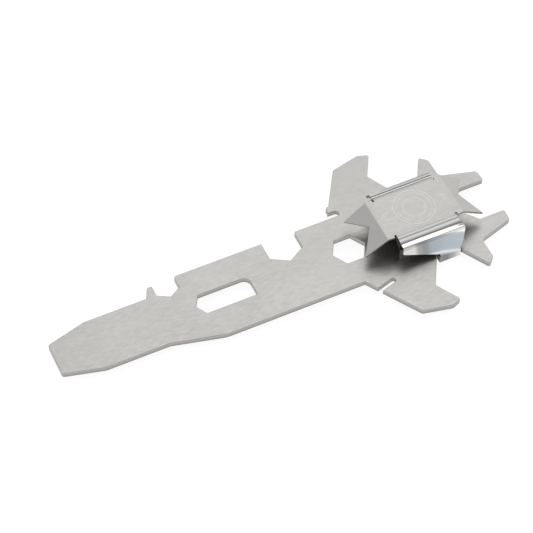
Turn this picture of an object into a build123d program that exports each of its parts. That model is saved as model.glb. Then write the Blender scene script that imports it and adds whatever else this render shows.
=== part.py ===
from build123d import *
import os
from math import cos, radians, sin, sqrt, tan

# A painter's pocket multi tool: one flat stainless plate that carries a scraper blade, a can hook,
# two open spanner jaws, a long slot, a hex socket, two wings and a forked head. A rocking belt clip
# is held to the narrow neck behind the head: a star-shaped face, a bright spring with two hooks,
# and a supporting saddle, all three of thin sheet.
#
# +X runs from the blade tip to the head, +Z is up, and the plate lies flat. The origin is the
# centre of the whole tool in X and Y, at its lowest point. All sizes are in millimetres.

# ---------------------------------------------------------------- driving sizes: the tool plate
plate_thickness = 2.5
edge_round = 0.3  # deburred edge of both faces

tip_width = 15.6
tip_corner = 1.3
taper_length = 17.3
blade_width = 24.7
blade_length = 45.0
flare_length = 22.8  # from the blade to the full handle width, on the plain side only
handle_width = 36.2

hook_width = 4.65  # can hook, which is also the near jaw of the small spanner
hook_height = 5.0
hook_lean = 2.4

small_spanner = 10.0  # across flats
large_spanner = 15.0
hex_socket = 13.0
small_spanner_depth = 8.95  # from the handle's edge to the apex of the jaw
large_spanner_depth = 13.05
jaw_spacing = 52.75  # between the centres of the two jaws

slot_width = 9.75
slot_length = 25.5
slot_offset = 7.35  # from the small jaw's centre to the slot's pointed end
slot_corner = 3.2

wing_offset = 23.0  # from the large jaw's centre to where the wing leaves the handle
socket_offset = 1.45  # from there to the centre of the hex socket
wing_sweep = 58.0  # degrees between the leading edge and the long axis
wing_reach = 23.3  # from the handle's edge to the wing's shoulder
wing_tip_rise = 2.9
wing_tip_length = 12.9
wing_tip_cut = 4.3
wing_tip_fall = 1.7
jaw_wing_stretch = 0.8  # how much nearer the fork the jaw side's wing ends
wing_root_reach = 13.9  # from the handle's edge to the inner corner of the trailing edge
trailing_angle = 60.0

stripper_width = 2.1  # slanted wire slot in the plain side's wing
stripper_depth = 6.2
stripper_reach = 6.3  # from the handle's edge to the slot's mouth
stripper_angle = 16.0
nick_width = 2.7  # round-ended nick beside the handle, on the jaw side
nick_depth = 3.6
nub_radius = 1.35

neck_length = 9.6
arm_reach = 13.9
arm_tip_length = 3.25
arm_tip_fall = 3.15
fork_root_depth = 1.3  # the corner between the outer and inner arms, outside the neck's line
fork_length = 15.85
fork_tip_width = 5.65
fork_outer_half = 14.7
claw_slot_half = 9.1
claw_slot_length = 11.75
claw_vee_length = 7.1

# ---------------------------------------------------------------- driving sizes: the belt clip
sheet = 0.9  # the star clip's sheet
star_height = 12.0  # from the plate's top face to the star's top face
star_offset = 6.8  # the star's centre lies this far towards the blade from the neck's centre
star_half_width = 11.0
star_root_span = 30.0  # between the roots of the claws at the two ends
star_fold_span = 35.2  # between the two folds
claw_length = 12.05  # along the sloping part
claw_angle = 34.5
claw_tip_half = 10.2
star_vee_depth = 6.85
sheet_bend = 1.3  # to the middle of the sheet
lip_bend = 0.75

skirt_angle = 45.0
skirt_drop = 2.7
flange_half = 16.0  # where the ledge turns down into the wall
flange_start_step = 1.9  # the ledge's ends, from the roots of the claws
flange_end_step = 0.7
wall_start_step = 0.8  # the wall's free corner, from the same root
free_corner_height = 6.9  # above the plate's top face
wall_foot_height = 0.05
neck_clearance = 1.4  # between the neck's edge and the hook's inner face
hook_side_clearance = 0.5  # between the neck's ends and the hook's edges
under_clearance = 0.85  # between the plate and the hook's lip, which lets the clip rock
lip_inset = 3.4  # how far the lip reaches in from the hook's outer face

spring_sheet = 0.7
spring_gap = 0.05  # between the spring and the star clip, where they are spot-welded
spring_half = 14.6  # outer faces of the legs
spring_step = 1.0  # the spring's end lies inside the claws' roots
leg_length = 17.0
foot_clearance = 0.15

# ---------------------------------------------------------------- stations along the tool
half_blade = blade_width / 2
half_handle = handle_width / 2
jaw_small = blade_length + hook_width + small_spanner / 2
jaw_large = jaw_small + jaw_spacing
wing_root = jaw_large + wing_offset
socket_at = wing_root + socket_offset
slot_start = jaw_small + slot_offset

wing_shoulder = wing_root + wing_reach / tan(radians(wing_sweep))
wing_tip_start = wing_shoulder + wing_tip_length
wing_tip_end = wing_tip_start + wing_tip_cut
wing_tip_half = half_handle + wing_reach + wing_tip_rise
wing_tip_low = wing_tip_half - wing_tip_fall
trailing_half = half_handle + wing_root_reach
trailing_corner = wing_tip_end - (wing_tip_low - trailing_half) / tan(radians(trailing_angle))
neck_start = trailing_corner + wing_root_reach / tan(radians(trailing_angle))
neck_end = neck_start + neck_length
neck_centre = neck_start + neck_length / 2

arm_tip_start = neck_end + arm_reach / tan(radians(trailing_angle))
arm_tip_end = arm_tip_start + arm_tip_length
fork_root_half = half_handle + fork_root_depth
fork_tip = arm_tip_end + fork_length
overall_length = fork_tip + 0.45

plate_bottom = sheet + under_clearance
plate_top = plate_bottom + plate_thickness
star_top = plate_top + star_height
star_centre = neck_centre - star_offset


def along(station):
    """X of a point at this distance from the blade tip."""
    return station - overall_length / 2


def nearest(shape, x, y):
    """The shape's corner nearest to a point of the plan."""
    return shape.vertices().sort_by_distance(Vector(along(x), y, 0))[0]


# ---------------------------------------------------------------- tool plate
def jaw_floor(centre, across, depth):
    """Plan points of a half-hexagon spanner jaw, from the blade side to the head side."""
    apex = half_handle - depth
    root = apex + across / 2 / sqrt(3)
    return [(centre - across / 2, root), (centre, apex), (centre + across / 2, root)]


small_jaw = jaw_floor(jaw_small, small_spanner, small_spanner_depth)
large_jaw = jaw_floor(jaw_large, large_spanner, large_spanner_depth)
hook_top = half_blade + hook_height

jaw_side = [
    (0, tip_width / 2),
    (taper_length, half_blade),
    (blade_length, half_blade),
    (blade_length + hook_lean, hook_top),
    (blade_length + hook_width, hook_top),
    *small_jaw,
    (jaw_small + small_spanner / 2, half_handle),
    (jaw_large - large_spanner / 2, half_handle),
    *large_jaw,
    (jaw_large + large_spanner / 2, half_handle),
]


def wing_and_head(stretch):
    """Plan points of a wing and half the head, with the wing's end moved towards the fork."""
    return [
        (wing_root, half_handle),
        (wing_shoulder, half_handle + wing_reach),
        (wing_tip_start, wing_tip_half),
        (wing_tip_end + stretch, wing_tip_low),
        (trailing_corner + stretch, trailing_half),
        (neck_start, half_handle),
        (neck_end, half_handle),
        (arm_tip_start, half_handle + arm_reach),
        (arm_tip_end, half_handle + arm_reach - arm_tip_fall),
        (arm_tip_end, fork_root_half),
        (fork_tip, fork_outer_half),
        (overall_length, fork_outer_half - fork_tip_width),
        (overall_length - claw_slot_length, claw_slot_half),
        (overall_length - claw_slot_length - claw_vee_length, 0),
    ]


plain_side = [
    (blade_length + flare_length, -half_handle),
    (blade_length, -half_blade),
    (taper_length, -half_blade),
    (0, -tip_width / 2),
]
head_mirrored = [(x, -y) for x, y in reversed(wing_and_head(0)[:-1])]
plate_outline = jaw_side + wing_and_head(jaw_wing_stretch) + head_mirrored + plain_side

with BuildPart() as tool_plate:
    with BuildSketch(Plane.XY.offset(plate_bottom)) as plan:
        with BuildLine():
            Polyline(*[(along(x), y) for x, y in plate_outline], close=True)
        make_face()

        # Round-ended nick along the handle's edge, with a small nub on the wing beside it.
        with Locations((along(wing_root + nick_depth / 2), half_handle + nick_width / 2)):
            SlotOverall(nick_depth + 2 * nick_width, nick_width, mode=Mode.SUBTRACT)
        nub_rise = nick_width + nub_radius * 1.6
        nub_at = wing_root + nub_rise / tan(radians(wing_sweep)) + 0.5
        with Locations((along(nub_at), half_handle + nub_rise)):
            Circle(nub_radius)

        # Slanted wire slot in the other wing.
        mouth = wing_root + stripper_reach / tan(radians(wing_sweep))
        slant = radians(stripper_angle)
        with Locations(
            (
                along(mouth + stripper_depth / 2 * cos(slant)),
                -half_handle - stripper_reach + stripper_depth / 2 * sin(slant),
            )
        ):
            SlotOverall(
                stripper_depth + 2 * stripper_width,
                stripper_width,
                rotation=stripper_angle,
                mode=Mode.SUBTRACT,
            )

        # Hex socket and the long slot with its pointed end.
        with Locations((along(socket_at), 0)):
            RegularPolygon(hex_socket / 2, 6, major_radius=False, rotation=0, mode=Mode.SUBTRACT)
        point = slot_width / 2 / sqrt(3)
        with BuildLine():
            Polyline(
                (along(slot_start), 0),
                (along(slot_start + point), slot_width / 2),
                (along(slot_start + slot_length), slot_width / 2),
                (along(slot_start + slot_length), -slot_width / 2),
                (along(slot_start + point), -slot_width / 2),
                close=True,
            )
        make_face(mode=Mode.SUBTRACT)

        fillet(nearest(plan, slot_start + slot_length, slot_width / 2), slot_corner)
        fillet(
            [nearest(plan, 0, side * tip_width / 2) for side in (1, -1)],
            tip_corner,
        )
        fillet(
            [nearest(plan, taper_length, side * half_blade) for side in (1, -1)],
            6.0,
        )
        fillet(
            [
                nearest(plan, blade_length + hook_lean, hook_top),
                nearest(plan, blade_length + hook_width, hook_top),
            ],
            0.9,
        )
        fillet(nearest(plan, blade_length, half_blade), 0.8)
        for x in (jaw_small + small_spanner / 2, jaw_large + large_spanner / 2):
            fillet(nearest(plan, x, half_handle), 1.2)
        fillet(nearest(plan, blade_length + flare_length, -half_handle), 12.0)
        for side, stretch in ((1, jaw_wing_stretch), (-1, 0)):
            fillet(nearest(plan, wing_shoulder, side * (half_handle + wing_reach)), 1.8)
            fillet(nearest(plan, wing_tip_start, side * wing_tip_half), 2.5)
            fillet(nearest(plan, wing_tip_end + stretch, side * wing_tip_low), 1.0)
            fillet(nearest(plan, trailing_corner + stretch, side * trailing_half), 1.0)
            fillet(nearest(plan, arm_tip_start, side * (half_handle + arm_reach)), 0.9)
            fillet(nearest(plan, arm_tip_end, side * (half_handle + arm_reach - arm_tip_fall)), 2.0)
            fillet(nearest(plan, arm_tip_end, side * fork_root_half), 2.4)
            fillet(nearest(plan, fork_tip, side * fork_outer_half), 1.4)
            fillet(nearest(plan, overall_length, side * (fork_outer_half - fork_tip_width)), 1.0)
            fillet(nearest(plan, overall_length - claw_slot_length, side * claw_slot_half), 1.0)
        fillet(nearest(plan, overall_length - claw_slot_length - claw_vee_length, 0), 0.8)
    extrude(amount=plate_thickness)
    faces_up_down = tool_plate.faces().filter_by(Axis.Z)
    fillet(faces_up_down.edges(), edge_round)


# ---------------------------------------------------------------- star face with its claws
middle = star_top - sheet / 2
half_fold = star_fold_span / 2
claw_run = claw_length * cos(radians(claw_angle))
claw_drop = claw_length * sin(radians(claw_angle))
claw_tip = half_fold + claw_run
star_vee = claw_tip - star_vee_depth
claw_root = star_root_span / 2


def clip_x(offset):
    """X of a point at this distance from the star's centre."""
    return along(star_centre + offset)


with BuildPart() as star_face:
    # Along the tool: a flat face with both ends folded down.
    with BuildSketch(Plane.XZ):
        with BuildLine():
            FilletPolyline(
                (clip_x(-claw_tip), middle - claw_drop),
                (clip_x(-half_fold), middle),
                (clip_x(half_fold), middle),
                (clip_x(claw_tip), middle - claw_drop),
                radius=sheet_bend,
            )
        trace(line_width=sheet)
    extrude(amount=star_half_width + 1, both=True)

    # In plan: two claws at each end with a vee between them.
    with BuildSketch() as star_plan:
        clear_tip = claw_tip + sheet
        with BuildLine():
            Polyline(
                (clip_x(claw_root), star_half_width),
                (clip_x(clear_tip), claw_tip_half),
                (clip_x(star_vee), 0),
                (clip_x(clear_tip), -claw_tip_half),
                (clip_x(claw_root), -star_half_width),
                (clip_x(-claw_root), -star_half_width),
                (clip_x(-clear_tip), -claw_tip_half),
                (clip_x(-star_vee), 0),
                (clip_x(-clear_tip), claw_tip_half),
                (clip_x(-claw_root), star_half_width),
                close=True,
            )
        make_face()
        fillet(star_plan.vertices().sort_by_distance(Vector(clip_x(star_vee), 0, 0))[0], 1.0)
    extrude(amount=star_top + 1, mode=Mode.INTERSECT)

# ---------------------------------------------------------------- star clip: skirts, walls and hooks
slope = radians(skirt_angle)
skirt_top = star_half_width - sheet / 2 * tan(slope / 2)
ledge = middle - skirt_drop
skirt_foot = skirt_top + skirt_drop / tan(slope)
hook_outer = half_handle + neck_clearance + sheet
hook_half = hook_outer - sheet / 2
wall_foot = plate_top + wall_foot_height
lip_end = hook_outer - lip_inset
hook_start = neck_start + hook_side_clearance - star_centre
hook_end = neck_end + hook_side_clearance - star_centre
flange_start = flange_start_step - claw_root
wall_start = wall_start_step - claw_root
flange_end = claw_root + flange_end_step

with BuildPart() as star_clip:
    # One sheet bent round from lip to lip.
    with BuildSketch(Plane.YZ.offset(clip_x(-claw_root))):
        with BuildLine():
            FilletPolyline(
                (-lip_end, sheet / 2),
                (-hook_half, sheet / 2),
                (-hook_half, wall_foot),
                (-flange_half, ledge),
                (-skirt_foot, ledge),
                (-skirt_top, middle),
                (skirt_top, middle),
                (skirt_foot, ledge),
                (flange_half, ledge),
                (hook_half, wall_foot),
                (hook_half, sheet / 2),
                (lip_end, sheet / 2),
                radius=[lip_bend, *[sheet_bend] * 8, lip_bend],
            )
        trace(line_width=sheet)
    extrude(amount=star_root_span + flange_end_step)

    # Seen from the side: slanted ends, and a narrow hook that drops through the neck.
    with BuildSketch(Plane.XZ) as side_view:
        free_corner = plate_top + free_corner_height
        hook_shoulder = plate_top + 1.3
        with BuildLine():
            Polyline(
                (clip_x(-claw_root), star_top + 1),
                (clip_x(-claw_root), star_top - sheet),
                (clip_x(flange_start), ledge),
                (clip_x(wall_start), free_corner),
                (clip_x(hook_start), hook_shoulder),
                (clip_x(hook_start), -1),
                (clip_x(hook_end), -1),
                (clip_x(hook_end), hook_shoulder - 0.4),
                (clip_x(flange_end - 2.1), plate_top + 2.8),
                (clip_x(flange_end - 1.0), plate_top + 5.8),
                (clip_x(flange_end), ledge),
                (clip_x(claw_root), star_top - sheet),
                (clip_x(claw_root), star_top + 1),
                close=True,
            )
        make_face()
        corners = side_view.vertices()
        for x, z, radius in (
            (wall_start, free_corner, 1.2),
            (hook_start, hook_shoulder, 0.8),
            (flange_end - 2.1, plate_top + 2.8, 3.0),
            (flange_end - 1.0, plate_top + 5.8, 3.0),
        ):
            fillet(corners.sort_by_distance(Vector(clip_x(x), 0, z))[0], radius)
    extrude(amount=hook_outer + 1, both=True, mode=Mode.INTERSECT)
    add(star_face.part)

# ---------------------------------------------------------------- inner spring
spring_drop = sheet + spring_gap + spring_sheet / 2  # from the star's top face to the spring's middle
spring_middle = star_top - spring_drop
spring_top = star_half_width - spring_drop * tan(slope / 2)
leg_half = spring_half - spring_sheet / 2
leg_top = spring_middle - (leg_half - spring_top) * tan(slope)
foot = plate_top + foot_clearance

with BuildPart() as inner_spring:
    # A saddle nested under the star, with two upright legs that stand on the plate.
    with BuildSketch(Plane.YZ.offset(clip_x(spring_step - claw_root))):
        with BuildLine():
            FilletPolyline(
                (-leg_half, foot),
                (-leg_half, leg_top),
                (-spring_top, spring_middle),
                (spring_top, spring_middle),
                (leg_half, leg_top),
                (leg_half, foot),
                radius=sheet_bend - sheet / 2 - spring_gap - spring_sheet / 2 + 0.25,
            )
        trace(line_width=spring_sheet)
    extrude(amount=star_root_span - 2 * spring_step)

    # The legs stop short of the neck so that the clip can rock.
    with BuildSketch(Plane.XZ):
        leg_start = spring_step - claw_root
        with BuildLine():
            Polyline(
                (clip_x(leg_start), foot),
                (clip_x(leg_start + leg_length), foot),
                (clip_x(leg_start + leg_length + 1), leg_top - 1),
                (clip_x(claw_root), leg_top + 1),
                (clip_x(claw_root), star_top),
                (clip_x(leg_start), star_top),
                close=True,
            )
        make_face()
    extrude(amount=hook_outer, both=True, mode=Mode.INTERSECT)

# ---------------------------------------------------------------- STEP files
os.makedirs("parts", exist_ok=True)
tool_plate.part.label = "tool_plate"
star_clip.part.label = "star_clip"
inner_spring.part.label = "inner_spring"
export_step(tool_plate.part, "parts/tool_plate.step")
export_step(star_clip.part, "parts/star_clip.step")
export_step(inner_spring.part, "parts/inner_spring.step")
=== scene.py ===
"""Looks of a painter's pocket multi tool: a stamped stainless plate with a sprung belt clip.

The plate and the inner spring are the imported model's own pieces and get their finishes here. The
star clip is made again as one folded sheet, so that its bends run smooth, and stands for the packed
one. A pale floor, soft light and a camera make up the stage.
"""

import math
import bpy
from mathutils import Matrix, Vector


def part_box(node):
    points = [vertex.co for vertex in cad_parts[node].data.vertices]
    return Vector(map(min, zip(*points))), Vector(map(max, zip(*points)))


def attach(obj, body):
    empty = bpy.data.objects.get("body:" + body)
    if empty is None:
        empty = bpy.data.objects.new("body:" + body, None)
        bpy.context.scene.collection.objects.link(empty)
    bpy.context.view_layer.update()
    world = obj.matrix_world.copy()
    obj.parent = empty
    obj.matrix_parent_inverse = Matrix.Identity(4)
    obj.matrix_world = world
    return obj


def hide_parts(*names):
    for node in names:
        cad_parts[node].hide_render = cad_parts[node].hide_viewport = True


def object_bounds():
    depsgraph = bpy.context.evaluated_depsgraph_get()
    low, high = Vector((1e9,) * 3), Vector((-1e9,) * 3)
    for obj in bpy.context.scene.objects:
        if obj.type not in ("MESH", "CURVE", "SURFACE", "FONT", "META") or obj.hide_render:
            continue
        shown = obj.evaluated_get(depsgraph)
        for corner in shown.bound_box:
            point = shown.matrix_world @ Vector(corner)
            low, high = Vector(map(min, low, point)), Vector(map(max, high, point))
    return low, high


bl_info = {
    "name": "Painter's Multi Tool",
    "version": (1, 0, 0),
    "blender": (4, 5, 0),
    "location": "View3D > Sidebar > Multi Tool",
    "description": "Builds and finishes a stamped stainless multi tool with its belt clip",
    "category": "Object",
}

import bmesh
import bpy
from mathutils import Matrix, Vector

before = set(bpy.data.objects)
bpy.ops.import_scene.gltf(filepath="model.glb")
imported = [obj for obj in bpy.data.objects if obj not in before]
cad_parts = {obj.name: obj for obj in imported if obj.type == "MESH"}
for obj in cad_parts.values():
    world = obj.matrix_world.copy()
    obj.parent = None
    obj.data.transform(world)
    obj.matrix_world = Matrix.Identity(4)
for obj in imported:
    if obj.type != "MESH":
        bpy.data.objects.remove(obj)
CAD_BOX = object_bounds()
MM = 0.001
PLATE_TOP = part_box("tool_plate")[1].z
CLIP_LOW, CLIP_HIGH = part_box("star_clip")
CLIP_CENTRE = (CLIP_LOW + CLIP_HIGH) / 2


# ---------------------------------------------------------------- settings
def shade(name, description, default):
    """A setting that holds a colour."""
    return bpy.props.StringProperty(
        name=name, description=f"{description}, as an sRGB hex value", default=default
    )


def factor(name, description, default):
    """A setting from 0 to 1."""
    return bpy.props.FloatProperty(
        name=name, description=description, default=default, min=0, max=1, subtype="FACTOR"
    )


def strength(name, description, default):
    """A setting that is not below 0."""
    return bpy.props.FloatProperty(name=name, description=description, default=default, min=0)


def length(name, description, millimetres):
    """A setting that holds a length, with its default in millimetres."""
    return bpy.props.FloatProperty(
        name=name, description=description, default=millimetres * MM, unit="LENGTH"
    )


def angle(name, description, degrees):
    """A setting that holds an angle, with its default in degrees."""
    return bpy.props.FloatProperty(
        name=name, description=description, default=math.radians(degrees), subtype="ANGLE"
    )


class SteelSettings(bpy.types.PropertyGroup):
    """Colours and roughness of the steel."""

    face: shade("Face", "Rolled face of the sheet", "B0AEAB")
    cloud: shade("Cloud", "Slightly darker clouds in the rolled face", "A3A19E")
    # The cut grey is partly the torn steel's own colour and partly painted shade on the stamped
    # edges.
    cut: shade("Cut edge", "Torn part of a stamped edge", "83837F")
    # The burnish colour is partly burnished steel and partly a painted highlight along the top of
    # the stamped edges.
    burnish_and_highlight: shade("Burnish", "Smooth part of a stamped edge, below the sheet's top", "B4B2AF")
    # The bends' near-white is a painted reflection of the white surroundings on the mirror-like
    # sheet.
    bend: shade("Bend", "Polished sheet of the clip's bends", "F4F4F2")
    inside: shade("Inside", "Unpolished inner face of the star clip", "A2A19E")
    # The inner spring's near-black is painted shade for the dark tunnel under the clip where it
    # sits.
    inner: shade("Inner spring", "Dull sheet of the inner spring", "3E3E3C")
    mark: shade("Mark", "Frosty etched lines on the clip", "EFEEEA")
    face_roughness: factor("Face roughness", "How matt the rolled face is", 0.42)
    bend_roughness: factor("Bend roughness", "How matt the polished bends are", 0.13)


class ClipSettings(bpy.types.PropertyGroup):
    """Sizes of the star clip's folded sheet. Those along the tool start at the star's centre."""

    sheet: length("Sheet", "Thickness of the sheet", 0.9)
    face_half: length("Face", "Half the star face's width", 11.0)
    fold_half: length("Folds", "Half the length between the two folds", 17.6)
    fold: length("Fold", "Radius of the claws' folds, to the middle of the sheet", 0.6)
    claw: length("Claw", "Length of a claw from its fold", 12.05)
    claw_angle: angle("Claw angle", "How far the claws are folded down", 34.5)
    tip_half: length("Claw tips", "Half the width between a pair of claw tips", 10.2)
    vee: length("Vee", "Depth of the vee between two claws, along the claw", 8.31)
    vee_round: length("Vee rounding", "Cut back from the bottom of the vee", 0.8)
    relief: length("Relief", "Width of the slots between the skirts and the claws", 1.0)
    relief_depth: length("Relief depth", "How far the slots reach into the face", 1.0)
    bend: length("Bend", "Radius of the bends, to the middle of the sheet", 1.3)
    skirt_half: length("Skirt", "Half the length of a skirt where it leaves the face", 13.7)
    skirt_drop: length("Skirt drop", "How far the ledges lie below the face", 2.7)
    ledge_start: length("Ledge start", "The ledges' end towards the blade", -13.1)
    ledge_end: length("Ledge end", "The ledges' end towards the fork", 15.7)
    ledge_half: length("Ledge", "Half the width at which the ledges turn down", 16.0)
    corner: length("Wall corner", "The walls' free corner towards the blade", -14.2)
    corner_height: length("Wall corner height", "Height of that corner above the plate", 6.9)
    corner_round: length("Wall corner rounding", "Cut back from that corner", 1.0)
    shoulder: length("Shoulder", "Height of a wall's slanted edge where it meets the hook", 1.3)
    heel: length("Heel", "Height at which a wall's edge towards the fork meets the hook", 0.9)
    foot: length("Wall foot", "Height above the plate at which a wall turns upright", 0.05)
    hook_start: length("Hook start", "The hooks' end towards the blade", 2.5)
    hook_end: length("Hook end", "The hooks' end towards the fork", 12.1)
    lip: length("Lip", "How far a lip reaches in under the neck", 3.4)
    lip_bend: length("Lip bend", "Radius of a lip's bend, to the middle of the sheet", 0.75)
    ring: length("Ring", "Radius of the etched ring", 8.9)


class StageSettings(bpy.types.PropertyGroup):
    """Floor, light and camera."""

    floor: shade("Floor", "Colour that the floor glows in", "FAFAFA")
    floor_shade: shade("Floor shade", "Colour of the floor's matt surface", "7A7A7A")
    glow: strength("Glow", "Strength of the floor's glow", 0.9)
    light: strength("Light", "Strength of the surrounding light", 0.85)
    softbox: strength("Softbox", "Power of the lamp, in watts", 1.2)
    azimuth: angle("Azimuth", "Camera's angle round the tool", -25.19)
    elevation: angle("Elevation", "Camera's angle above the floor", 52.74)
    distance: length("Distance", "From the camera to the point it looks at", 822.8)
    lens: bpy.props.FloatProperty(
        name="Lens", description="Focal length on a 36 mm sensor, in millimetres", default=133.7
    )


# ---------------------------------------------------------------- nodes
def linear(hex_value):
    """An sRGB hex value as a linear colour."""
    parts = [int(hex_value[i : i + 2], 16) / 255 for i in (0, 2, 4)]
    return [c / 12.92 if c <= 0.04045 else ((c + 0.055) / 1.055) ** 2.4 for c in parts] + [1.0]


def add_node(tree, kind, inputs=(), **settings):
    """Adds a node, with its settings, and its inputs as values or as outputs to link."""
    node = tree.nodes.new(kind)
    for key, value in settings.items():
        setattr(node, key, value)
    for key, value in dict(inputs).items():
        if isinstance(value, bpy.types.NodeSocket):
            tree.links.new(value, node.inputs[key])
        else:
            node.inputs[key].default_value = value
    return node


def maths(tree, operation, *values):
    """The result of one step of arithmetic."""
    node = add_node(tree, "ShaderNodeMath", dict(enumerate(values)), operation=operation)
    return node.outputs["Value"]


def map_range(tree, value, start, end, first=0.0, last=1.0, **settings):
    """A value taken from the range start to end into the range first to last, and held there."""
    inputs = {"Value": value, "From Min": start, "From Max": end, "To Min": first, "To Max": last}
    return add_node(tree, "ShaderNodeMapRange", inputs, **settings).outputs["Result"]


def mix_colours(tree, amount, first, second):
    """Two colours mixed: the first at 0 and the second at 1."""
    inputs = {"Factor": amount, 6: first, 7: second}
    return add_node(tree, "ShaderNodeMix", inputs, data_type="RGBA").outputs[2]


def noise(tree, place, size, detail, roughness):
    """Noise whose largest blotches are about this size across."""
    inputs = {"Vector": place, "Scale": 1 / size, "Detail": detail, "Roughness": roughness}
    return add_node(tree, "ShaderNodeTexNoise", inputs).outputs["Fac"]


def colour_ramp(tree, amount, *stops):
    """A smooth ramp through (position, sRGB hex) stops."""
    node = add_node(tree, "ShaderNodeValToRGB", {"Fac": amount})
    node.color_ramp.interpolation = "EASE"
    ramp = node.color_ramp.elements
    while len(ramp) < len(stops):
        ramp.new(0.5)
    for stop, (position, hex_value) in zip(ramp, stops):
        stop.position, stop.color = position, linear(hex_value)
    return node.outputs["Color"]


def new_material(name):
    """An empty node material and its tree."""
    material = bpy.data.materials.new(name)
    material.use_nodes = True
    tree = material.node_tree
    tree.nodes.clear()
    return material, tree


def coordinates(tree):
    """The texture coordinates, by name."""
    return add_node(tree, "ShaderNodeTexCoord").outputs


def finish_steel(tree, colour, roughness, height, relief, depth):
    """Bare metal with a fine bump, as the surface of the material."""
    bump = add_node(
        tree, "ShaderNodeBump", {"Height": height, "Strength": relief, "Distance": depth}
    )
    steel = add_node(
        tree,
        "ShaderNodeBsdfPrincipled",
        {
            "Base Color": colour,
            "Metallic": 1.0,
            "Roughness": roughness,
            "Normal": bump.outputs["Normal"],
        },
    )
    add_node(tree, "ShaderNodeOutputMaterial", {"Surface": steel.outputs["BSDF"]})


def give(obj, *materials):
    """Puts these materials in the object's slots."""
    if obj.data.materials:
        obj.data.materials.clear()
    for material in materials:
        obj.data.materials.append(material)


# ---------------------------------------------------------------- finishes
def rolled_face(tree, place, light, dark):
    """A cold-rolled face: its colour, with soft clouds, and its faint grain along the sheet."""
    clouds = noise(tree, place, 30 * MM, 3.0, 0.55)
    stretched = add_node(tree, "ShaderNodeMapping", {"Vector": place, "Scale": (0.2, 1.0, 1.0)})
    # The real grain is about 0.1 mm wide; it is drawn 0.5 mm wide so that it shows.
    grain = noise(tree, stretched.outputs["Vector"], 0.5 * MM, 2.0, 0.5)
    return mix_colours(tree, clouds, linear(dark), linear(light)), grain


def rolled_stainless(name, light, dark, cut, burnish_and_highlight, roughness, top):
    """Cold-rolled stainless plate, stamped and tumbled.

    The faces are satin grey with soft clouds and a faint lengthwise grain. The punch burnished the
    stamped edges just below the sheet's top and tore the steel further down. The paler band at the
    top of each edge is partly that burnish and partly a painted highlight of the rounded corner,
    and the darker torn grey below is partly painted shade.
    """
    material, tree = new_material(name)
    place = coordinates(tree)
    face, grain = rolled_face(tree, place["Object"], light, dark)
    normal = add_node(tree, "ShaderNodeSeparateXYZ", {"Vector": place["Normal"]})
    edge = map_range(tree, maths(tree, "ABSOLUTE", normal.outputs["Z"]), 0.25, 0.75, 1.0, 0.0)
    tears = noise(tree, place["Object"], 0.9 * MM, 3.0, 0.6)
    # The torn grey is partly the steel's own colour and partly painted shade on the edges.
    torn_and_shade = mix_colours(tree, tears, linear(cut), linear("A7A6A2"))
    height = add_node(tree, "ShaderNodeSeparateXYZ", {"Vector": place["Object"]}).outputs["Z"]
    # Paler towards the top of the edges: partly burnish, partly a painted highlight of the rounded
    # corner.
    smooth = map_range(tree, height, top - 1.5 * MM, top - 0.2 * MM)
    edge_colour_and_painted_light = mix_colours(tree, smooth, torn_and_shade, linear(burnish_and_highlight))
    colour = mix_colours(tree, edge, face, edge_colour_and_painted_light)
    matt = map_range(tree, grain, 0.3, 0.7, roughness - 0.05, roughness + 0.06)
    finish_steel(tree, colour, matt, grain, 0.07, 0.02 * MM)
    return material


def line_mask(tree, distance, width):
    """1 where a distance, in metres, is inside a line of this width, fading at its sides."""
    away = maths(tree, "ABSOLUTE", distance)
    return map_range(tree, away, width * 0.35, width * 0.65, 1.0, 0.0)


def etched_marks(tree, place, ring_radius):
    """Mask of the star face's etched marks: two rings, a hexagon, and chevrons by the folds."""
    centred = add_node(
        tree, "ShaderNodeMapping", {"Vector": place, "Location": (-CLIP_CENTRE.x, -0.2 * MM, 0)}
    )
    axes = add_node(tree, "ShaderNodeSeparateXYZ", {"Vector": centred.outputs["Vector"]}).outputs
    along, across = maths(tree, "ABSOLUTE", axes["X"]), maths(tree, "ABSOLUTE", axes["Y"])
    squares = [maths(tree, "MULTIPLY", axis, axis) for axis in (axes["X"], axes["Y"])]
    radius = maths(tree, "SQRT", maths(tree, "ADD", *squares))
    # The cosine and sine of 30 degrees turn the hexagon's slanted sides.
    slanted = maths(
        tree, "ADD", maths(tree, "MULTIPLY", along, 0.866), maths(tree, "MULTIPLY", across, 0.5)
    )
    hexagon = maths(tree, "MAXIMUM", slanted, across)
    marks, *others = (
        line_mask(tree, maths(tree, "SUBTRACT", distance, size), width)
        for distance, size, width in (
            (radius, ring_radius, 0.5 * MM),
            (radius, ring_radius * 0.84, 0.35 * MM),
            (hexagon, ring_radius * 0.52, 0.45 * MM),
        )
    )
    near = maths(tree, "LESS_THAN", across, 2.3 * MM)
    for point in (13.8 * MM, 15.2 * MM):
        away = maths(tree, "SUBTRACT", maths(tree, "ADD", along, across), point)
        others.append(maths(tree, "MULTIPLY", near, line_mask(tree, away, 0.5 * MM)))
    for other in others:
        marks = maths(tree, "MAXIMUM", marks, other)
    return marks


def marked_stainless(name, light, dark, mark, roughness, ring_radius):
    """Cold-rolled stainless of the star face, with frosty laser-etched marks.

    The marks are a little paler and much duller than the satin around them.
    """
    material, tree = new_material(name)
    place = coordinates(tree)
    face, grain = rolled_face(tree, place["Object"], light, dark)
    marks = etched_marks(tree, place["Object"], ring_radius)
    colour = mix_colours(tree, maths(tree, "MULTIPLY", marks, 0.48), face, linear(mark))
    satin = map_range(tree, grain, 0.3, 0.7, roughness - 0.04, roughness + 0.05)
    matt = maths(tree, "MULTIPLY_ADD", marks, 0.25, satin)
    finish_steel(tree, colour, matt, grain, 0.06, 0.02 * MM)
    return material


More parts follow.
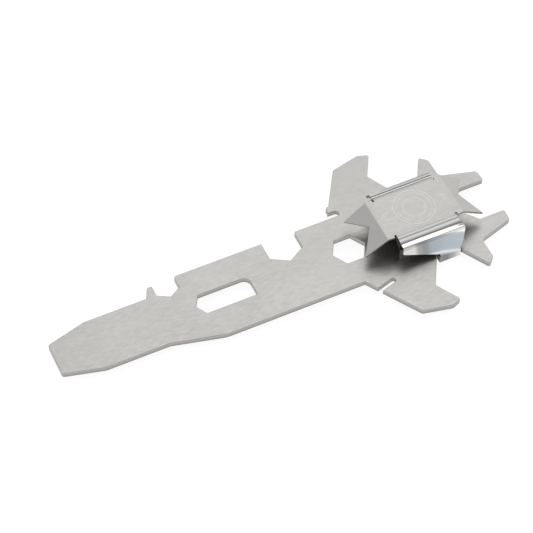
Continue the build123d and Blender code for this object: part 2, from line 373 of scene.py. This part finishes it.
def swung_across(tree, along, across):
    """Distance from the tool's middle as the plain side's painted bands follow it.

    Beyond the skirt the bands swing outwards towards the fork.
    """
    bow, slant = 2.5, 0.07
    slope = maths(tree, "MULTIPLY_ADD", along, bow, slant)
    swing = maths(tree, "MULTIPLY", slope, along)
    growth = map_range(tree, across, 13.6 * MM, 15.0 * MM, 0.0, -1.0)
    return maths(tree, "MULTIPLY_ADD", swing, growth, across)


def polished_bend_painted_reflections(name, painted_reflection_white, roughness):
    """Spring steel sheet polished by the bending tool.

    It mirrors its surroundings. Bright bands of painted reflection and dark lines of painted shade
    run along the bends, and the walls get a blue-grey painted reflection that is uneven towards the
    blade.
    """
    material, tree = new_material(name)
    place = coordinates(tree)
    axes = add_node(tree, "ShaderNodeSeparateXYZ", {"Vector": place["Object"]}).outputs
    along = maths(tree, "SUBTRACT", axes["X"], CLIP_CENTRE.x)
    across = maths(tree, "ABSOLUTE", axes["Y"])

    # Painted bands of each side, from just inside the face's edge out to the hook: bright ones are
    # painted reflections, dark ones painted shade in the creases and by the hook.
    jaw_out, plain_out = (
        map_range(tree, distance, 10.5 * MM, 20.5 * MM)
        for distance in (across, swung_across(tree, along, across))
    )
    plain_side_painted_light = colour_ramp(
        tree,
        plain_out,
        (0.00, "F0EFED"),
        (0.08, "ECEBE9"),
        (0.145, "ACAAA8"),
        (0.19, "ECEBE9"),
        (0.225, "DEDCDA"),
        (0.27, "A6A4A2"),
        (0.30, "7A7876"),
        (0.325, "C8C6C4"),
        (0.35, painted_reflection_white),
        (0.49, painted_reflection_white),
        (0.53, "BCBBB9"),
        (0.60, "AAB2B7"),
        (0.82, "AEB7BC"),
        (0.87, "DADCDD"),
        (0.92, "A2A2A4"),
        (0.945, "7E7D7F"),
        (0.975, "8C8B8D"),
    )
    jaw_side_painted_light = colour_ramp(
        tree,
        jaw_out,
        (0.00, "A6A5A3"),
        (0.07, "A8A7A5"),
        (0.12, "F0F0EE"),
        (0.31, "FAFAF8"),
        (0.345, "B0B0AE"),
        (0.37, "5A5957"),
        (0.415, "62615F"),
        (0.445, "A6A6A4"),
        (0.51, "AAAAA8"),
        (0.545, "6E6D6C"),
        (0.58, "8E8D8C"),
        (0.82, "A6AFB5"),
        (0.90, "D0D2D3"),
        (0.975, "A8A7A9"),
    )
    on_jaw_side = maths(tree, "GREATER_THAN", axes["Y"], 0.0)
    painted_reflection_bands = mix_colours(tree, on_jaw_side, plain_side_painted_light, jaw_side_painted_light)

    # Painted reflection on the walls: blue-grey, pale at the end towards the blade, then a darker
    # patch.
    painted_wall_reflection = colour_ramp(
        tree,
        map_range(tree, along, -15 * MM, 15 * MM),
        (0.0, "D6D4D1"),
        (0.20, "D4D2CF"),
        (0.29, "A09D9A"),
        (0.37, "8F9195"),
        (0.50, "A2AAB0"),
        (0.72, "AAB3B9"),
        (0.95, "AFB8BD"),
    )
    past_ledge = map_range(tree, plain_out, 0.53, 0.60)
    above_hook = map_range(tree, jaw_out, 0.82, 0.88, 1.0, 0.0)
    wall = maths(tree, "MULTIPLY", past_ledge, above_hook)
    waves = noise(tree, place["Object"], 9 * MM, 2.0, 0.5)
    matt = map_range(tree, waves, 0.3, 0.7, roughness - 0.03, roughness + 0.05)
    finish_steel(tree, mix_colours(tree, wall, painted_reflection_bands, painted_wall_reflection), matt, waves, 0.15, 0.15 * MM)
    return material


def sheared_edge(name, cut):
    """Sheared edge of thin stainless sheet: dull grey with short tears."""
    material, tree = new_material(name)
    place = coordinates(tree)
    tears = noise(tree, place["Object"], 0.7 * MM, 3.0, 0.6)
    # The cut grey is partly painted shade, as on the plate's edges.
    colour = mix_colours(tree, tears, linear(cut), linear("ABABA8"))
    finish_steel(tree, colour, 0.5, tears, 0.2, 0.03 * MM)
    return material


# ---------------------------------------------------------------- star clip's folded sheet
def edges_at(bm, test):
    """Edges with both ends passing a test on their position."""
    return [e for e in bm.edges if all(test(v.co) for v in e.verts)]


def pull(bm, edge, start, end, across, height):
    """Extrudes one edge and returns the new one, which runs from start to end along the tool."""
    made = bmesh.ops.extrude_edge_only(bm, edges=[edge])["geom"]
    verts = sorted((g for g in made if isinstance(g, bmesh.types.BMVert)), key=lambda v: v.co.x)
    for vert, along in zip(verts, (start, end)):
        vert.co = (along, across, height)
    return next(e for e in verts[0].link_edges if e.other_vert(verts[0]) is verts[1])


def cut(bm, faces, point, normal, clear=False):
    """Bisects these faces with a plane, and removes what lies beyond it if asked."""
    point, normal = Vector(point), Vector(normal)
    geometry = set(faces)
    for face in faces:
        geometry.update(face.edges)
        geometry.update(face.verts)
    made = bmesh.ops.bisect_plane(
        bm, geom=list(geometry), plane_co=point, plane_no=normal, dist=1e-7
    )["geom"]
    if clear:
        parts = {g for g in made if isinstance(g, bmesh.types.BMFace)}
        beyond = [f for f in parts if (f.calc_center_median() - point).dot(normal) > 0]
        bmesh.ops.delete(bm, geom=beyond, context="FACES")


def round_off(bm, geometry, offset, segments, affect="EDGES"):
    """Rounds edges or corners of the sheet, cut back by an offset."""
    bmesh.ops.bevel(
        bm,
        geom=geometry,
        offset=offset,
        offset_type="OFFSET",
        affect=affect,
        segments=segments,
        profile=0.5,
        material=-1,
    )


def bend_round(bm, edges, radius, turn, segments=7):
    """Rounds sharp bends of the sheet to a radius."""
    round_off(bm, edges, radius * math.tan(turn / 2), segments)


def flat_star(bm, s, middle, skirt_top):
    """The star face with its claws still flat, and relief slots between skirts and claws."""
    slot_end = s.skirt_half + s.relief
    slot_bottom = skirt_top - s.relief_depth
    flat_tip = s.fold_half + s.claw
    quarter = (
        (s.skirt_half, skirt_top),
        (s.skirt_half, slot_bottom),
        (slot_end, slot_bottom),
        (slot_end, s.face_half),
        (flat_tip, s.tip_half),
        (flat_tip - s.vee, 0),
    )
    half = [*quarter, *((x, -y) for x, y in reversed(quarter[:-1]))]
    outline = [*half, *((-x, -y) for x, y in half)]
    bm.faces.new([bm.verts.new((x, y, middle)) for x, y in outline])


def fold_claws(bm, s, middle):
    """Folds both pairs of claws down from the flat star."""
    for end in (-1, 1):
        cut(bm, bm.faces[:], (end * s.fold_half, 0, middle), (end, 0, 0))
        bmesh.ops.rotate(
            bm,
            cent=(end * s.fold_half, 0, middle),
            matrix=Matrix.Rotation(end * s.claw_angle, 3, "Y"),
            verts=[v for v in bm.verts if v.co.x * end > s.fold_half + 1e-6],
        )
    folds = edges_at(bm, lambda p: abs(abs(p.x) - s.fold_half) < 1e-6)
    bend_round(bm, folds, s.fold, s.claw_angle, segments=4)


def trim_wall(bm, s, side, foot, corner):
    """Cuts a wall's slanted edge towards the blade and its short one towards the fork."""

    def wall(test):
        centres = ((f, f.calc_center_median()) for f in bm.faces)
        return [f for f, c in centres if side * c.y > s.ledge_half and c.z > foot and test(c.x)]

    slant = Vector((s.hook_start, 0, PLATE_TOP + s.shoulder)) - corner
    for end in (s.hook_start, s.hook_end):
        cut(bm, wall(lambda x: True), (end, 0, 0), (1, 0, 0))
    cut(bm, wall(lambda x: x < s.hook_start), corner, (slant.z, 0, -slant.x), clear=True)
    heel = (s.hook_end, 0, PLATE_TOP + s.heel)
    rise, run = 1.9, 1.5
    cut(bm, wall(lambda x: x > s.hook_end), heel, (rise, 0, -run), clear=True)


def fold_star_clip(s):
    """The middle surface of the star clip, folded from one sheet."""
    bm = bmesh.new()
    middle = CLIP_HIGH.z - s.sheet / 2
    lip_level = CLIP_LOW.z + s.sheet / 2
    hook_half = CLIP_HIGH.y - s.sheet / 2
    lip_half = CLIP_HIGH.y - s.lip
    skirt_top = s.face_half - s.sheet / 2 * math.tan(math.radians(22.5))
    ledge = middle - s.skirt_drop
    skirt_foot = skirt_top + s.skirt_drop
    foot = PLATE_TOP + s.foot
    corner = Vector((s.corner, 0, PLATE_TOP + s.corner_height))

    flat_star(bm, s, middle, skirt_top)
    fold_claws(bm, s, middle)
    for side in (-1, 1):
        # Skirt, ledge and wall, each drawn out of the last one's edge. The wall runs past both of
        # its trimmed ends.
        edge = next(
            e
            for e in edges_at(bm, lambda p: abs(p.y - side * skirt_top) < 1e-6)
            if e.calc_length() > s.skirt_half
        )
        edge = pull(bm, edge, s.ledge_start, s.ledge_end, side * skirt_foot, ledge)
        edge = pull(bm, edge, s.ledge_start, s.ledge_end, side * s.ledge_half, ledge)
        pull(bm, edge, s.ledge_start - 5 * MM, s.ledge_end - 3 * MM, side * hook_half, foot)
        trim_wall(bm, s, side, foot, corner)

        # The hook and its lip hang from the wall's foot.
        edge = next(iter(edges_at(bm, lambda p: abs(p.z - foot) < 1e-6 and p.y * side > 0)))
        edge = pull(bm, edge, s.hook_start, s.hook_end, side * hook_half, lip_level)
        pull(bm, edge, s.hook_start, s.hook_end, side * lip_half, lip_level)

    lean = math.atan2(hook_half - s.ledge_half, ledge - foot)
    for half, level, radius, turn in (
        (skirt_top, middle, s.bend, math.radians(45)),
        (skirt_foot, ledge, s.bend * 0.8, math.radians(45)),
        (s.ledge_half, ledge, s.bend, math.pi / 2 - lean),
        (hook_half, foot, s.bend, lean),
        (hook_half, lip_level, s.lip_bend, math.pi / 2),
    ):
        row = edges_at(bm, lambda p: abs(abs(p.y) - half) < 1e-6 and abs(p.z - level) < 1e-6)
        bend_round(bm, row, radius, turn)
    rim = [v for v in bm.verts if v.is_boundary]
    close = 0.4 * MM
    corners = [v for v in rim if abs(v.co.x - corner.x) < close and abs(v.co.z - corner.z) < close]
    round_off(bm, corners, s.corner_round, 6, "VERTICES")
    notches = [v for v in bm.verts if v.is_boundary and abs(v.co.y) < 1e-6 and v.co.x > 0]
    round_off(bm, notches, s.vee_round, 4, "VERTICES")

    bmesh.ops.translate(bm, vec=(CLIP_CENTRE.x, 0, 0), verts=bm.verts)
    bmesh.ops.recalc_face_normals(bm, faces=bm.faces)
    if sum(f.normal.z * f.calc_area() for f in bm.faces) < 0:
        bmesh.ops.reverse_faces(bm, faces=bm.faces)
    polished_from = skirt_top - 0.2 * MM
    for face in bm.faces:
        face.smooth = True
        face.material_index = 0 if abs(face.calc_center_median().y) < polished_from else 1
    return bm


# ---------------------------------------------------------------- stage
def add_floor(scene, s):
    """Matt white sweep. It glows, as an overexposed white table does."""
    bm = bmesh.new()
    bmesh.ops.create_grid(bm, x_segments=1, y_segments=1, size=3.0)
    bmesh.ops.translate(bm, vec=(0, 0, CAD_BOX[0].z - 0.2 * MM), verts=bm.verts)
    mesh = bpy.data.meshes.new("floor")
    bm.to_mesh(mesh)
    bm.free()
    floor = bpy.data.objects.new("floor", mesh)
    scene.collection.objects.link(floor)
    material, tree = new_material("matt_white_table")
    table = add_node(
        tree,
        "ShaderNodeBsdfPrincipled",
        {
            "Base Color": linear(s.floor_shade),
            "Roughness": 0.9,
            "Emission Color": linear(s.floor),
            "Emission Strength": s.glow,
        },
    )
    add_node(tree, "ShaderNodeOutputMaterial", {"Surface": table.outputs["BSDF"]})
    give(floor, material)


def add_light_tent(scene, s):
    """White surroundings, dimmer close to overhead and brighter where the claws mirror them."""
    world = bpy.data.worlds.new("light_tent")
    scene.world = world
    world.use_nodes = True
    tree = world.node_tree
    tree.nodes.clear()
    sky = coordinates(tree)["Generated"]
    level = 1.0
    # Direction of each patch, how its cosine runs from rim to middle, and its share of the light.
    for toward, rim, core, share in (
        ((0.26, -0.09, 0.96), 0.88, 0.985, 0.65),
        ((-0.65, 0.55, 0.53), 0.72, 0.97, 1.2),
        ((0.84, 0.55, 0.15), 0.60, 0.97, 1.75),
    ):
        facing = add_node(
            tree,
            "ShaderNodeVectorMath",
            {0: sky, 1: Vector(toward).normalized()},
            operation="DOT_PRODUCT",
        ).outputs["Value"]
        patch = map_range(tree, facing, rim, core, 1.0, share, interpolation_type="SMOOTHSTEP")
        level = maths(tree, "MULTIPLY", patch, level)
    tent = add_node(
        tree,
        "ShaderNodeBackground",
        {"Color": linear("FCFDFF"), "Strength": maths(tree, "MULTIPLY", level, s.light)},
    )
    add_node(tree, "ShaderNodeOutputWorld", {"Surface": tent.outputs["Background"]})


def add_softbox(scene, s):
    """One large soft lamp overhead."""
    lamp = bpy.data.lights.new("overhead_softbox", "AREA")
    lamp.shape, lamp.size, lamp.size_y, lamp.energy = "RECTANGLE", 0.7, 0.5, s.softbox
    softbox = bpy.data.objects.new("overhead_softbox", lamp)
    softbox.location = (0.25, 0.42, 0.85)
    softbox.rotation_mode = "QUATERNION"
    softbox.rotation_quaternion = (-softbox.location).to_track_quat("-Z", "Y")
    scene.collection.objects.link(softbox)


def add_camera(scene, s):
    """The camera looks at a point on the plate's top face."""
    a, e = s.azimuth, s.elevation
    back = Vector((math.sin(a) * math.cos(e), -math.cos(a) * math.cos(e), math.sin(e)))
    aim = Vector((-3.81 * MM, 6.32 * MM, PLATE_TOP))
    camera = bpy.data.objects.new("camera", bpy.data.cameras.new("camera"))
    camera.data.lens, camera.data.sensor_width = s.lens, 36.0
    camera.data.clip_start, camera.data.clip_end = 0.05, 20.0
    camera.location = aim + back * s.distance
    camera.rotation_mode = "QUATERNION"
    camera.rotation_quaternion = (-back).to_track_quat("-Z", "Y")
    scene.collection.objects.link(camera)
    scene.camera = camera
    scene.view_settings.view_transform = "Standard"


# ---------------------------------------------------------------- operators
class MULTITOOL_OT_plate(bpy.types.Operator):
    """Finish the stamped plate in rolled stainless"""

    bl_idname = "multitool.plate"
    bl_label = "Finish Plate"

    def execute(self, context):
        s = context.scene.multitool_steel
        roughness = s.face_roughness - 0.03
        finish = rolled_stainless(
            "rolled_plate_steel", s.face, s.cloud, s.cut, s.burnish_and_highlight, roughness, PLATE_TOP
        )
        give(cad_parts["tool_plate"], finish)
        return {"FINISHED"}


class MULTITOOL_OT_inner_spring(bpy.types.Operator):
    """Finish the inner spring in near-black steel, painted shade for the tunnel under the clip"""

    bl_idname = "multitool.inner_spring"
    bl_label = "Finish Inner Spring"

    def execute(self, context):
        s = context.scene.multitool_steel
        # The spring's near-black colours are painted shade for the dark tunnel under the clip.
        finish = rolled_stainless(
            "inner_spring_painted_shade_steel", s.inner, "30302E", "2E2E2C", s.burnish_and_highlight, 0.3, CLIP_HIGH.z
        )
        give(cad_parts["inner_spring"], finish)
        return {"FINISHED"}


class MULTITOOL_OT_star_clip(bpy.types.Operator):
    """Fold the star clip from one sheet"""

    bl_idname = "multitool.star_clip"
    bl_label = "Build Star Clip"

    def execute(self, context):
        s, steel = context.scene.multitool_clip, context.scene.multitool_steel
        bm = fold_star_clip(s)
        mesh = bpy.data.meshes.new("folded_star_clip")
        bm.to_mesh(mesh)
        bm.free()
        clip = bpy.data.objects.new("folded_star_clip", mesh)
        context.scene.collection.objects.link(clip)
        roughness = steel.face_roughness - 0.02
        inside = rolled_stainless(
            "unpolished_inner_steel",
            steel.inside,
            "949390",
            steel.cut,
            steel.burnish_and_highlight,
            0.45,
            CLIP_HIGH.z,
        )
        # Two slots for the outer face, one for the cut rim, and two for the inner face.
        give(
            clip,
            marked_stainless(
                "star_face_steel", steel.face, steel.cloud, steel.mark, roughness, s.ring
            ),
            polished_bend_painted_reflections("polished_bend_painted_reflections_steel", steel.bend, steel.bend_roughness),
            sheared_edge("sheared_sheet_edge", steel.cut),
            inside,
            inside,
        )
        thick = clip.modifiers.new("thickness", "SOLIDIFY")
        thick.thickness, thick.offset, thick.use_even_offset = s.sheet, 0.0, True
        thick.material_offset, thick.material_offset_rim = 3, 2
        soften = clip.modifiers.new("softened_edges", "BEVEL")
        soften.width, soften.segments, soften.limit_method = 0.12 * MM, 2, "ANGLE"
        soften.angle_limit, soften.harden_normals = math.radians(50), True
        even = clip.modifiers.new("even_shading", "WEIGHTED_NORMAL")
        even.keep_sharp, even.weight = True, 80
        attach(clip, "clip")
        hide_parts("star_clip")
        return {"FINISHED"}


class MULTITOOL_OT_stage(bpy.types.Operator):
    """Set up the floor, the light and the camera"""

    bl_idname = "multitool.stage"
    bl_label = "Build Stage"

    def execute(self, context):
        for step in (add_floor, add_light_tent, add_softbox, add_camera):
            step(context.scene, context.scene.multitool_stage)
        return {"FINISHED"}


# ---------------------------------------------------------------- panel and registration
class MULTITOOL_PT_panel(bpy.types.Panel):
    """Lists the tool's pieces and the stage"""

    bl_idname = "MULTITOOL_PT_panel"
    bl_label = "Multi Tool"
    bl_space_type = "VIEW_3D"
    bl_region_type = "UI"
    bl_category = "Multi Tool"

    def draw(self, context):
        for operator in STEPS:
            self.layout.operator(operator.bl_idname)
        for group in ("multitool_steel", "multitool_clip", "multitool_stage"):
            settings = getattr(context.scene, group)
            box = self.layout.box()
            for key in settings.bl_rna.properties.keys():
                if key not in ("rna_type", "name"):
                    box.prop(settings, key)


STEPS = (MULTITOOL_OT_plate, MULTITOOL_OT_inner_spring, MULTITOOL_OT_star_clip, MULTITOOL_OT_stage)
CLASSES = (SteelSettings, ClipSettings, StageSettings, *STEPS, MULTITOOL_PT_panel)


def register():
    for cls in CLASSES:
        bpy.utils.register_class(cls)
    bpy.types.Scene.multitool_steel = bpy.props.PointerProperty(type=SteelSettings)
    bpy.types.Scene.multitool_clip = bpy.props.PointerProperty(type=ClipSettings)
    bpy.types.Scene.multitool_stage = bpy.props.PointerProperty(type=StageSettings)


def unregister():
    del bpy.types.Scene.multitool_stage
    del bpy.types.Scene.multitool_clip
    del bpy.types.Scene.multitool_steel
    for cls in reversed(CLASSES):
        bpy.utils.unregister_class(cls)


def main():
    register()
    bpy.ops.multitool.plate()
    bpy.ops.multitool.inner_spring()
    bpy.ops.multitool.star_clip()
    bpy.ops.multitool.stage()


if __name__ == "__main__":
    main()
